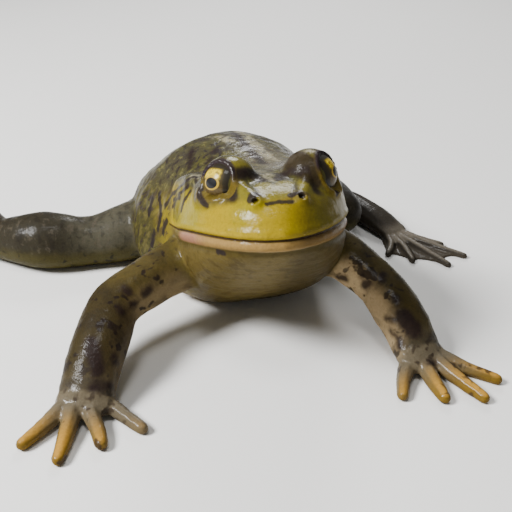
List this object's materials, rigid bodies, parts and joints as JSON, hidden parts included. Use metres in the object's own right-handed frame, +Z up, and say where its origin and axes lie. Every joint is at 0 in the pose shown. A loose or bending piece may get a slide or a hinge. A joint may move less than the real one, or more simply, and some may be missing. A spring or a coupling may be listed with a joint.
{
  "type": "bullfrog",
  "caption": "Life-size still model of a bullfrog resting on its belly, head raised and turned, arms spread, one hind leg folded and the other stretched to the side.",
  "frame": {"origin": "middle of the flat under the belly, on the floor", "axes": "+Z up, -Y the way the chest looks, +X the frog's left side"},
  "size_m": [0.3114, 0.2239, 0.0753],
  "materials": {
    "skin_back": "wet mottled olive-brown frog skin, fine warts",
    "skin_throat": "wet tan skin with brown mottling, pale lower lip",
    "skin_limb": "wet dark olive skin with black blotches",
    "skin_hand": "wet golden tan skin of the fingers",
    "skin_foot": "wet grey-brown webbed skin",
    "tympanum": "smooth wet olive-brown skin of the eardrum",
    "eye": "clear wet cornea over a black pupil with a gold ring"
  },
  "bodies": {
    "root": {"head": "skin_back", "lower_jaw": "skin_throat", "torso": "skin_back", "eye_left": "eye", "tympanum_left": "tympanum", "upper_arm_left": "skin_limb", "forearm_left": "skin_limb", "hand_left": "skin_hand", "thigh_left": "skin_limb", "shank_left": "skin_limb", "tarsus_left": "skin_limb", "foot_left": "skin_foot", "eye_right": "eye", "tympanum_right": "tympanum", "upper_arm_right": "skin_limb", "forearm_right": "skin_limb", "hand_right": "skin_hand", "thigh_right": "skin_limb", "shank_right": "skin_limb", "tarsus_right": "skin_limb", "foot_right": "skin_foot"}
  },
  "joints": []
}
